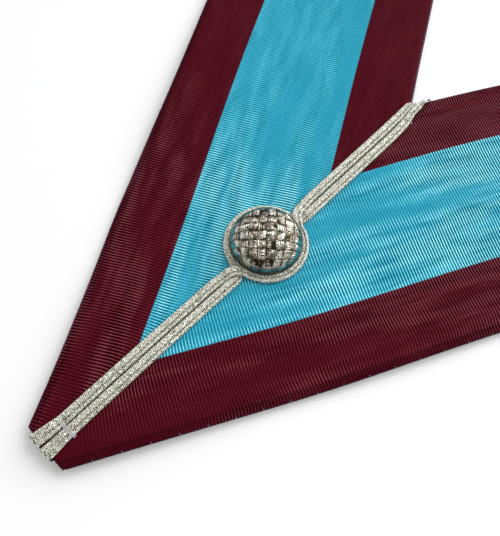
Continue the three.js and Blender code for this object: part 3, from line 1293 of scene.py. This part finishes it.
@dataclass(frozen=True)
class Braids:
    """The pair of plaited strands: their lane, their way round the button and their crossings."""

    lay: Lay
    width: float = 3.8 * MM
    fullness: float = 1.04
    thickness: float = 1.7 * MM
    float_height: float = 0.12 * MM
    ring_radius: float = 14.15 * MM
    ring_x: float = 0.3 * MM
    ring_drop: float = 88.6 * MM
    ring_half_turn: float = math.radians(74)
    ring_steps: int = 11
    weaving: tuple[tuple[float, float, float], ...] = (
        (0.38, 0.62, 0.42),
        (1.1, 0.22, 0.02),
        (2.05, 0.08, 0.0),
    )
    crossing_offset: float = 0.47
    crossing_reach: float = 5.8 * MM
    crossing_gain: float = 2.0
    crossing_gap: float = 0.1 * MM
    under_pressed: float = 0.42
    over_pressed: float = 0.2
    tacks: tuple[float, ...] = (6.7 * MM, 182 * MM)
    tack_reach: float = 3 * MM
    tack_pressed: float = 0.2
    tip_reach: float = 8 * MM
    tip_pressed: float = 0.45
    end_taper: float = 0.5
    end_slant: float = 1.1
    end_reach: float = 3.5 * MM
    wrap_reach: float = 0.3 * MM
    wrap_steps: int = 5
    step: float = 0.17 * MM
    around: int = 32
    plait: float = 1.05 * MM
    plait_slant: float = 1.35
    plait_depth: float = 0.11 * MM
    groove: float = 0.66
    groove_reach: float = 0.096
    groove_depth: float = 0.42
    top_share: float = 0.75
    edge_height: float = 0.32
    crown_power: float = 4.5
    left_past: float = 2.2 * MM
    right_past: float = 7.2 * MM
    pair: tuple[tuple[float, float, float, float], ...] = (
        (0.0, 0.03, 0.84, 0.8),
        (0.045, 0.25, 1.06, 0.96),
        (0.09, 0.34, 1.13, 1.0),
        (0.3, 0.3, 1.13, 1.0),
        (0.56, 0.16, 1.13, 1.0),
        (0.75, 0.1, 1.13, 1.0),
        (0.94, 0.08, 1.14, 1.02),
        (1.0, -0.09, 1.5, 1.24),
    )
    stops_above: tuple[float, ...] = (0.12, 0.25, 0.5, 0.78, 1)
    stops_below: tuple[float, ...] = (0, 0.15, 0.35, 0.55, 0.75, 0.88, 1)

    def lane_x(self, lane: int, drop: float) -> float:
        """The middle of a strand at a distance below the neck point.

        Args:
            lane: -1 for the left strand, and 1 for the right.
            drop: The distance below the neck point.

        Returns:
            The place sideways.
        """
        share = min(1.0, max(0.0, drop / self.lay.front_drop))
        centre, spread = table_value(self.pair, share, 1), table_value(self.pair, share, 2)
        return self.width * (centre + lane * spread / 2)

    def width_at(self, point: Vector) -> float:
        """The width of a strand, which tapers above the neck point.

        Args:
            point: The place on the strand.

        Returns:
            The width there.
        """
        share = min(1.0, max(0.0, -point.y / self.lay.front_drop))
        taper = 1.0 - self.end_taper * smooth(self.left_past, self.right_past, point.y)
        return self.width * self.fullness * table_value(self.pair, share, 3) * taper

    def floor(self, point: Vector) -> float:
        """The height of the underside of a strand that lies on the cloth."""
        return self.lay.lift(point.x, point.y) + self.lay.cloth_top + self.float_height

    def plan(self, lane: int) -> list[Vector]:
        """The way of a strand on the table, from the neck point to the tip.

        Args:
            lane: -1 for the strand that starts on the left, and 1 for the other.

        Returns:
            The points of its middle line.
        """
        join = self.ring_radius + self.width * (self.weaving[-1][0] + 1.0)
        past = self.left_past if lane < 0 else self.right_past
        above = [-past, -past / 2, 0.0] + [(self.ring_drop - join) * part for part in self.stops_above]
        start, length = self.ring_drop + join, self.lay.front_drop - self.ring_drop - join
        below = [start + length * part for part in self.stops_below]
        crossing = {-1: [], 1: []}
        for out, over_share, under_share in self.weaving:
            share = over_share if lane < 0 else under_share
            for way in (-1, 1):
                drop = self.ring_drop + way * (self.ring_radius + self.width * out)
                x = self.lane_x(lane, drop) * (1 - share) + self.lane_x(-lane, drop) * share
                crossing[way].append(Vector((x, -drop, 0.0)))
        ring = []
        for i in range(self.ring_steps + 1):
            angle = self.ring_half_turn * (1 - 2 * i / self.ring_steps)
            ring.append(Vector((self.ring_x - lane * self.ring_radius * math.cos(angle),
                                -self.ring_drop + self.ring_radius * math.sin(angle), 0.0)))
        points = [Vector((self.lane_x(lane, drop), -drop, 0.0)) for drop in above]
        points += crossing[-1][::-1] + ring + crossing[1]
        points += [Vector((self.lane_x(lane, drop), -drop, 0.0)) for drop in below]
        return smooth_path(points, self.step)

    def crossing(self, point: Vector) -> float:
        """How much of a crossing a point has.

        Args:
            point: The place on a strand.

        Returns:
            1 at the middle of a crossing and 0 away from it.
        """
        out = self.ring_radius + self.width * self.crossing_offset
        near = min(math.hypot(point.x - self.ring_x, point.y + self.ring_drop + way * out) for way in (-1, 1))
        return min(1.0, self.crossing_gain * hump(near / self.crossing_reach))

    def press(self, point: Vector, over: bool) -> float:
        """How flat a strand is pressed by a crossing, a tack or the tip.

        Args:
            point: The place on the strand.
            over: Whether it is the upper strand.

        Returns:
            What is left of its thickness, as a share.
        """
        pressed = (self.over_pressed if over else self.under_pressed) * self.crossing(point)
        tack = max(hump((point.y + drop) / self.tack_reach) for drop in self.tacks)
        tip = hump((point.y + self.lay.front_drop) / self.tip_reach)
        return (1.0 - pressed) * (1.0 - self.tack_pressed * tack) * (1.0 - self.tip_pressed * tip)

    def hop(self, point: Vector) -> float:
        """How much the upper strand rises where it crosses the other."""
        return (self.thickness * (1.0 - self.under_pressed) + self.crossing_gap) * self.crossing(point)

    def path(self, lane: int, over: bool) -> list[Vector]:
        """The underside of a strand in space, with its tail wrapped under the tip.

        Args:
            lane: -1 for the strand that starts on the left, and 1 for the other.
            over: Whether it is the upper strand.

        Returns:
            The points of its middle line.
        """
        points = []
        for point in self.plan(lane):
            point.z = self.floor(point) + (self.hop(point) if over else 0.0)
            points.append(point)
        x, tip = self.lane_x(lane, self.lay.front_drop), self.lay.front_drop
        lift = self.lay.lift(x, -tip)
        gap = self.float_height
        wrap = []
        for middle, turn in ((lift + self.lay.cloth_top, 0.0), (lift, math.pi / 2)):
            for i in range(1, self.wrap_steps + 1):
                angle = turn + math.pi / 2 * i / self.wrap_steps
                y = -tip - gap - self.wrap_reach * math.sin(angle)
                wrap.append(Vector((x, y, middle + gap * math.cos(angle))))
        wrap.append(Vector((x, self.lay.tail_length - tip, lift - gap)))
        return points + smooth_path([points[-1], *wrap], self.step)[1:]

    def section(self, share: float, reach: float) -> tuple[float, float]:
        """The plaited section: two ribs and a groove on top, and a flat underside.

        Args:
            share: The share of the way round, the top first and from its left edge.
            reach: The running length.

        Returns:
            The place across, as a share of the width, and up, as a length.
        """
        if share > self.top_share:
            back = (share - self.top_share) / (1.0 - self.top_share)
            return 0.5 - back, 0.0
        across = 0.5 - 0.5 * math.cos(math.pi * share / self.top_share)
        crown = math.sqrt(max(0.0, 1.0 - abs(2 * across - 1) ** self.crown_power))
        dip = 1.0 - self.groove_depth * hump(abs(across - self.groove) / self.groove_reach)
        slope = abs(across - self.groove) * self.plait_slant * self.width / self.plait
        thread = math.cos(math.tau * (reach / self.plait + slope))
        height = self.thickness * (self.edge_height + (1.0 - self.edge_height) * crown) * dip
        return across - 0.5, height + self.plait_depth * thread * crown

    def build(self, place: Piece, lane: int, material: bpy.types.Material) -> bpy.types.Object:
        """Makes one strand.

        Args:
            place: Where the pieces go.
            lane: -1 for the strand that starts on the left and crosses over, and 1 for the other.
            material: The braid's material.

        Returns:
            The object.
        """
        over = lane < 0
        bm = strand_mesh()
        stations = [replace(station, press=self.press(station.place, over))
                    for station in stations_of(self.path(lane, over), self.width_at, Vector((1, 0, 0)))]
        if over:
            for station in stations:
                past = station.place.y - self.left_past
                station.sideways.y += self.end_slant * hump(past / self.end_reach)
        swept(bm, stations, self.around, self.section)
        node = "braid_over" if over else "braid_under"
        return place.finish(bm, f"silver_{node}", Slot.BRAID, material, [node])

    def top_at(self, lane: int, drop: float, across: float) -> Vector:
        """A point on top of a strand.

        Args:
            lane: -1 for the left strand, and 1 for the right.
            drop: The distance below the neck point.
            across: The place from the strand's left edge, as a share of its width.

        Returns:
            The point.
        """
        middle = Vector((self.lane_x(lane, drop), -drop, 0.0))
        width = self.width_at(middle)
        x = middle.x + (across - 0.5) * width
        height = self.section(self.share_of(across), 0.0)[1] * self.press(middle, False)
        return Vector((x, -drop, self.floor(middle) + height))

    def share_of(self, across: float) -> float:
        """The share of the way round at which a place across the top lies."""
        return self.top_share * math.acos(1.0 - 2.0 * across) / math.pi


def round_section(radius: float) -> Callable[[float, float], tuple[float, float]]:
    """Makes a round section for a strand whose width is 1.

    Args:
        radius: The strand's radius.

    Returns:
        The section.
    """
    def section(share: float, reach: float) -> tuple[float, float]:
        """The place on the circle."""
        return radius * math.cos(math.tau * share), radius * math.sin(math.tau * share)
    return section


def thread(bm: bmesh.types.BMesh, points: Sequence[Vector], radius: float, step: float, sides: int) -> None:
    """Adds a round thread through points.

    Args:
        bm: The mesh.
        points: The points.
        radius: The thread's radius.
        step: The length of its steps.
        sides: How many sides it has.
    """
    path = smooth_path(points, step)
    swept(bm, stations_of(path, lambda point: 1.0, Vector((1, 0, 0))), sides, round_section(radius))


@dataclass(frozen=True)
class Tack:
    """Stitches across the pair of strands, which hold them to the ribbon."""

    name: str
    drop: float
    threads: int
    spacing: float
    radius: float
    slant: float
    start: float = 0.0
    rests: tuple[float, ...] = (0.03, 0.25, 0.5, 0.78, 0.97)
    sunk: float = 0.7
    overhang: float = 0.35 * MM
    step: float = 0.25 * MM
    sides: int = 8

    def build(self, place: Piece, braids: Braids, material: bpy.types.Material) -> bpy.types.Object:
        """Makes the tack.

        Args:
            place: Where the pieces go.
            braids: The strands that it crosses.
            material: The thread's material.

        Returns:
            The object.
        """
        bm = strand_mesh()
        for i in range(self.threads):
            drop = self.drop + (i - (self.threads - 1) / 2) * self.spacing
            points = []
            for lane, start in ((-1, self.start), (1, 0.0)):
                for share in (part for part in self.rests if part >= start):
                    points.append(braids.top_at(lane, drop, share) + Vector((0, 0, self.radius * self.sunk)))
            first, last = points[0].copy(), points[-1].copy()
            first.x -= self.overhang
            last.x += self.overhang
            for end in (first, last):
                end.z = braids.floor(end) - self.radius
            middle = points[0].lerp(points[-1], 0.5).x
            for point in (first, *points, last):
                point.y += self.slant * (point.x - middle)
            thread(bm, [first, *points, last], self.radius, self.step, self.sides)
        return place.finish(bm, self.name, Slot.BRAID, material)


@dataclass(frozen=True)
class EdgeWork:
    """The sewing along one side's edges."""

    lay: Lay
    side: Side
    radius: float = 0.1 * MM
    hem: float = HEM
    stitch: float = 2.3 * MM
    stitch_gap: float = 0.5 * MM
    stitch_bed: float = 0.1 * MM
    stitch_dip: float = 0.15 * MM
    stitch_flat: float = 0.7
    stitch_step: float = 0.6 * MM
    stitch_sides: int = 5
    slip_spacing: float = 9.5 * MM
    slip_inset: float = 0.4 * MM
    slip_edge: float = 0.02 * MM
    slip_low: float = 0.75 * MM
    slip_rises: tuple[float, float, float] = (-0.3 * MM, 0.0, -0.45 * MM)
    slip_reaches: tuple[float, float] = (0.12 * MM, 0.1 * MM)
    slip_step: float = 0.3 * MM
    neck_thread: float = 0.09 * MM
    neck_inset: float = 0.08 * MM
    neck_spacing: float = 4 * MM
    neck_height: float = 1.35 * MM
    neck_step: float = 1.2 * MM
    sides: int = 6

    def edge_points(self, across: float, step: float, proud: float = 0.0) -> list[tuple[Vector, Vector]]:
        """Sets out places along the side at a distance from its neck edge.

        Args:
            across: The distance.
            step: The length from place to place.
            proud: How far past the neck edge a place may lie.

        Returns:
            The places on the table's height, each with its outward direction.
        """
        points = []
        reach = self.lay.corner(across)
        for panel in range(self.lay.tucks + 1):
            front = self.lay.front_end() if panel == 0 else -reach
            count = max(2, round((reach - front) / step))
            for i in range(count):
                distance = front + (reach - front) * (i + 0.5) / count
                low, high = self.lay.width_at(self.side, panel, distance, proud)
                if not low <= across <= high:
                    continue
                place = self.lay.plan(self.side, panel, distance, across)
                outward = self.lay.plan(self.side, panel, distance, across + MM) - place
                place.z = self.lay.lift(place.x, place.y)
                points.append((place, outward.normalized()))
        return points

    def hem_row(self, place: Piece, material: bpy.types.Material) -> bpy.types.Object:
        """Makes the row of machine stitches along the hem of the outer edge.

        Args:
            place: Where the pieces go.
            material: The thread's material.

        Returns:
            The object.
        """
        bm = strand_mesh()
        across = self.lay.ribbon_width - self.hem
        top = Vector((0, 0, self.lay.cloth_top - self.stitch_bed))
        dip = Vector((0, 0, self.stitch_dip))
        for spot, outward in self.edge_points(across, self.stitch + self.stitch_gap):
            middle, forward = spot + top, Vector((-outward.y, outward.x, 0)) * self.stitch / 2
            flat = forward * self.stitch_flat
            points = [middle - forward - dip, middle - flat, middle + flat, middle + forward - dip]
            thread(bm, points, self.radius, self.stitch_step, self.stitch_sides)
        return place.finish(bm, f"hem_stitches_{self.side.word}", Slot.RIBBON, material)

    def slip_row(self, place: Piece, material: bpy.types.Material) -> bpy.types.Object:
        """Makes the slip stitches that catch the ribbon's outer edge to the lining.

        Args:
            place: Where the pieces go.
            material: The thread's material.

        Returns:
            The object.
        """
        bm = strand_mesh()
        heights = [self.lay.cloth_top + rise for rise in self.slip_rises] + [self.slip_low]
        reaches = [-self.slip_inset, -self.slip_inset / 2, *self.slip_reaches]
        for spot, outward in self.edge_points(self.lay.ribbon_width - self.slip_edge, self.slip_spacing):
            points = [spot + outward * out + Vector((0, 0, height)) for out, height in zip(reaches, heights)]
            thread(bm, points, self.radius, self.slip_step, self.sides)
        return place.finish(bm, f"slip_stitches_{self.side.word}", Slot.LINING, material)

    def neck_line(self, place: Piece, material: bpy.types.Material) -> bpy.types.Object:
        """Makes the pale thread that lies along the neck edge between ribbon and lining, whose colour also
        paints the highlight along the ribbon's edge.

        Args:
            place: Where the pieces go.
            material: The thread's material.

        Returns:
            The object.
        """
        bm = strand_mesh()
        spots = self.edge_points(-self.neck_inset, self.neck_spacing, 2 * self.neck_inset)
        points = [spot + Vector((0, 0, self.neck_height)) for spot, _ in spots]
        thread(bm, points, self.neck_thread, self.neck_step, self.sides)
        return place.finish(bm, f"neck_thread_{self.side.word}", Slot.LINING, material)


@dataclass(frozen=True)
class LooseThread:
    """The dark thread end that stands out of the neck edge beside the point."""

    points: tuple[tuple[float, float, float], ...] = (
        (3.5, 7.6, 1.7), (3.3, 7.9, 3.0), (2.7, 8.5, 3.8), (2.7, 9.3, 3.7), (3.4, 9.8, 2.9))
    radius: float = 0.25 * MM
    step: float = 0.25 * MM
    sides: int = 8

    def build(self, place: Piece, material: bpy.types.Material) -> bpy.types.Object:
        """Makes the thread end.

        Args:
            place: Where the pieces go.
            material: The thread's material.

        Returns:
            The object.
        """
        bm = strand_mesh()
        thread(bm, [Vector(point) * MM for point in self.points], self.radius, self.step, self.sides)
        return place.finish(bm, "loose_thread", Slot.LINING, material)


# The button


@dataclass(frozen=True)
class Button:
    """The domed button: a basket weave of wire bundles inside a plain polished rim."""

    centre: Vector
    radius: float = 13.6 * MM
    height: float = 8.4 * MM
    back_radius: float = 11.2 * MM
    cloth_top: float = CLOTH_TOP
    rim_rise: float = 2.6 * MM
    back_rise: float = 1.0 * MM
    rim_roll: float = 0.3 * MM
    roll_drop: float = 0.48 * MM
    cells: int = 8
    cell_steps: int = 18
    wires: int = 4
    relief: float = 0.5 * MM
    relief_power: int = 14
    arch_power: float = 0.6
    side_power: float = 0.6
    side_steepness: float = 9.0
    wire_power: float = 0.8
    wire_depth: float = 0.55
    rim_start: float = 0.965
    rim_fade: float = 0.025
    rim_dark_tone: float = 0.9
    rim_level: float = 0.5
    tilt: float = 3.0
    tilt_steps: tuple[float, float] = (1.7, 1.3)
    warp: float = 0.07
    warp_waves: float = 2.2
    dent: float = 0.4
    dent_size: float = 0.085
    seed: float = 4.4
    dent_seed: float = 11.4
    turn: float = math.radians(41)
    crease: float = 50.0

    def weave(self, u: float, v: float) -> float:
        """The weave's height at a place of its square.

        Args:
            u: The place across, from -1 to 1.
            v: The place along, from -1 to 1.

        Returns:
            The height, from 0 in a gap to about 1 on a wire.
        """
        across, along = (u + 1) / 2 * self.cells, (v + 1) / 2 * self.cells
        column, row = min(self.cells - 1, int(across)), min(self.cells - 1, int(along))
        a, b = across - column, along - row
        if (column + row) % 2:
            a, b = b, a
        lean = noise.noise_vector((column * self.tilt_steps[0], row * self.tilt_steps[1], self.seed))
        lean_height = self.tilt * (lean.x * (a - 0.5) + lean.y * (b - 0.5) + lean.z / 2)
        arch = math.sin(math.pi * min(1.0, max(0.0, a))) ** self.arch_power
        sides = min(1.0, self.side_steepness * min(b, 1.0 - b)) ** self.side_power
        wire = abs(math.sin(math.pi * self.wires * b)) ** self.wire_power
        return max(0.0, arch * sides * (1.0 - self.wire_depth + self.wire_depth * wire + lean_height))

    def wandered(self, u: float, v: float) -> tuple[float, float]:
        """Moves a place of the square a little, so that the rows of wire wander.

        Args:
            u: The place across, from -1 to 1.
            v: The place along, from -1 to 1.

        Returns:
            The place at which the weave is read.
        """
        way = noise.noise_vector((self.warp_waves * u, self.warp_waves * v, self.seed))
        way *= self.warp * (1.0 - max(abs(u), abs(v)))
        return u + way.x, v + way.y

    def build(self, place: Piece, material: bpy.types.Material) -> bpy.types.Object:
        """Makes the button.

        Args:
            place: Where the pieces go.
            material: The metal.

        Returns:
            The object.
        """
        bm = bmesh.new()
        recess = bm.verts.layers.float.new("recess")
        count = self.cells * self.cell_steps
        made = bmesh.ops.create_grid(bm, x_segments=count, y_segments=count, size=1.0)["verts"]
        for vert in made:
            u, v = vert.co.x, vert.co.y
            x, y = u * math.sqrt(1 - v * v / 2), v * math.sqrt(1 - u * u / 2)
            out = min(1.0, math.hypot(x, y))
            plain = smooth(self.rim_start, self.rim_start + self.rim_fade, out)
            dent = self.dent * noise.noise((u / self.dent_size, v / self.dent_size, self.dent_seed))
            level = (self.weave(*self.wandered(u, v)) + dent) * (1.0 - plain) + self.rim_level * plain
            # The plain rim is given nearly the dark tone of the grooves.
            vert[recess] = (1.0 - level) * (1.0 - plain) + self.rim_dark_tone * plain
            dome = self.height * math.sqrt(max(0.0, 1.0 - out * out))
            rise = dome + self.relief * level * (1.0 - out ** self.relief_power)
            vert.co = (x * self.radius, y * self.radius, self.cloth_top + self.rim_rise + rise)
        bm.normal_update()
        rim = [edge for edge in bm.edges if edge.is_boundary]
        for radius, height in ((self.radius, self.rim_rise - self.rim_roll),
                               (self.radius - self.rim_roll, self.rim_rise - self.roll_drop),
                               (self.back_radius, self.back_rise)):
            made = bmesh.ops.extrude_edge_only(bm, edges=rim)["geom"]
            rim = [item for item in made if isinstance(item, bmesh.types.BMEdge) and item.is_boundary]
            for vert in (item for item in made if isinstance(item, bmesh.types.BMVert)):
                flat = Vector((vert.co.x, vert.co.y, 0.0)).normalized() * radius
                vert.co = (flat.x, flat.y, self.cloth_top + height)
        back = bmesh.ops.holes_fill(bm, edges=rim, sides=0)["faces"]
        bmesh.ops.poke(bm, faces=back)
        bmesh.ops.rotate(bm, verts=bm.verts, cent=(0, 0, 0), matrix=Matrix.Rotation(self.turn, 3, "Z"))
        bmesh.ops.translate(bm, verts=bm.verts, vec=self.centre)
        return place.finish(bm, "silver_button", Slot.BUTTON, material, ["button_dome"], self.crease)


# The studio


@dataclass(frozen=True)
class Studio:
    """The table, the soft lights and the camera of the photograph."""

    neck_point: Vector
    camera_place: tuple[float, float, float] = (59.48, -163.76, 191.7)
    azimuth: float = 41.53
    elevation: float = 65.71
    roll: float = 2.83
    lens: float = 38.05
    sensor: float = 36.0
    clip_start: float = 0.01
    table_size: float = 6.0
    key_turn: float = 78.0
    key_height: float = 38.0
    key_distance: float = 1.6
    key_size: float = 1.5
    key_power: float = 25.0
    world_strength: float = 0.9
    spark_turns: tuple[float, ...] = (-16.0, 24.0)
    spark_height: float = 58.0
    spark_distance: float = 1.3
    spark_size: float = 0.28
    spark_power: float = 1.7
    dark_reach: float = 0.62
    dark_fade: float = 0.15
    dark_share: float = 0.07

    def camera_way(self) -> Vector:
        """Works out the direction from the collar to the camera.

        Returns:
            The direction.
        """
        azimuth, elevation = math.radians(self.azimuth), math.radians(self.elevation)
        level = math.cos(elevation)
        return Vector((math.sin(azimuth) * level, -math.cos(azimuth) * level, math.sin(elevation)))

    def camera(self) -> None:
        """Makes the camera, where the photograph was taken from."""
        azimuth = math.radians(self.azimuth)
        back = self.camera_way()
        right = Vector((math.cos(azimuth), math.sin(azimuth), 0.0))
        up = back.cross(right)
        turned = Matrix((right, up, back)).transposed() @ Matrix.Rotation(math.radians(self.roll), 3, "Z")
        data = bpy.data.cameras.new("camera")
        data.lens, data.sensor_width = self.lens, self.sensor
        data.clip_start = self.clip_start
        camera = bpy.data.objects.new("camera", data)
        camera.matrix_world = turned.to_4x4()
        camera.location = self.neck_point + Vector(self.camera_place) * MM
        bpy.context.scene.collection.objects.link(camera)
        bpy.context.scene.camera = camera

    def table(self) -> None:
        """Makes the table top."""
        bm = bmesh.new()
        bmesh.ops.create_grid(bm, x_segments=1, y_segments=1, size=self.table_size / 2)
        mesh = bpy.data.meshes.new("table")
        bm.to_mesh(mesh)
        bm.free()
        mesh.materials.append(TableFinish().material())
        table = bpy.data.objects.new("table", mesh)
        bpy.context.scene.collection.objects.link(table)

    def lamp(self, name: str, turn: float, height: float, distance: float, size: float, power: float) -> None:
        """Makes a square lamp that faces the neck point.

        Args:
            name: Its name.
            turn: Its direction on the table in degrees, from the right side round to the back.
            height: Its height in degrees over the table.
            distance: How far away it is.
            size: The length of its sides.
            power: Its power in watts.
        """
        turn, height = math.radians(turn), math.radians(height)
        way = Vector((math.cos(turn) * math.cos(height), math.sin(turn) * math.cos(height), math.sin(height)))
        data = bpy.data.lights.new(name, "AREA")
        data.energy, data.size = power, size
        lamp = bpy.data.objects.new(name, data)
        lamp.location = self.neck_point + way * distance
        lamp.rotation_euler = way.to_track_quat("Z", "Y").to_euler()
        bpy.context.scene.collection.objects.link(lamp)

    def lights(self) -> None:
        """Makes the key light beyond the right side, small lamps by the camera, and the room's light.

        The room is dark round the camera, as behind the photographer, which the button mirrors.
        """
        self.lamp("key", self.key_turn, self.key_height, self.key_distance, self.key_size, self.key_power)
        for i, turn in enumerate(self.spark_turns):
            self.lamp(f"spark_{i}", self.azimuth - 90.0 + turn, self.spark_height, self.spark_distance,
                      self.spark_size, self.spark_power)
        g = Graph("room", room=True)
        way = g.node("TexCoord", None, None, "Generated")
        toward = g.node("VectorMath", {"operation": "DOT_PRODUCT"}, {0: way, 1: self.camera_way()}, "Value")
        start, light = self.dark_reach, self.world_strength
        ends = {1: start, 2: start + self.dark_fade, 3: light, 4: light * self.dark_share}
        shade = g.node("MapRange", {"interpolation_type": "SMOOTHSTEP"}, {0: toward, **ends})
        bpy.context.scene.world = g.dress(color=WHITE, strength=shade)
        bpy.context.scene.view_settings.view_transform = "Standard"

    def build(self) -> None:
        """Makes them all."""
        self.camera()
        self.table()
        self.lights()


def main() -> None:
    """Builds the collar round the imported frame."""
    logging.basicConfig(level=logging.INFO, format="%(name)s %(message)s")
    # Without a seed, each run takes its noise vectors from the clock.
    noise.seed_set(NOISE_SEED)
    lay = Lay()
    braids = Braids(lay)
    low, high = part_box("button_dome")
    middle = (low + high) / 2
    neck_point = Vector((0.0, middle.y + braids.ring_drop, 0.0))
    place = Piece(neck_point)
    Studio(neck_point).build()

    lining_cloth = LiningFinish().material()
    maroon_thread = ThreadFinish("maroon_thread", (0.035, 0.003, 0.006)).material()
    pale_thread = ThreadFinish("pale_thread", (0.24, 0.235, 0.26)).material()
    # A pale thread along the neck edge, partly a painted highlight of the ribbon's edge.
    grey_edge_highlight_thread = ThreadFinish("grey_edge_highlight_thread", (0.26, 0.26, 0.30)).material()
    tack_thread = ThreadFinish("tack_thread", (0.60, 0.565, 0.56), shade=0.75).material()
    dark_thread = ThreadFinish("dark_thread", (0.012, 0.009, 0.014)).material()
    for side in Side:
        ribbon = RibbonSide(lay, side)
        finish = RibbonFinish(side, lay.ribbon_width, ribbon.pitch)
        cloth = ribbon.build(place, finish)
        lining = LiningSide(lay, side).build(place, lining_cloth)
        work = EdgeWork(lay, side)
        hem = work.hem_row(place, maroon_thread)
        slip = work.slip_row(place, pale_thread)
        neck = work.neck_line(place, grey_edge_highlight_thread)

    silver = BraidFinish().material()
    for lane in (-1, 1):
        braids.build(place, lane, silver)
    upper, lower = braids.tacks
    for tack in (Tack("lower_tack", lower, 3, spacing=0.4 * MM, radius=0.17 * MM, slant=0.05, start=0.4),
                 Tack("upper_tack", upper, 2, spacing=0.35 * MM, radius=0.11 * MM, slant=0.37)):
        tack.build(place, braids, tack_thread)
    LooseThread().build(place, dark_thread)
    Button(Vector((middle.x, -braids.ring_drop, 0.0))).build(place, ButtonFinish().material())

    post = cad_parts["button_post"]
    post.data.materials.clear()
    post.data.materials.append(SteelFinish().material())


if __name__ == "__main__":
    main()
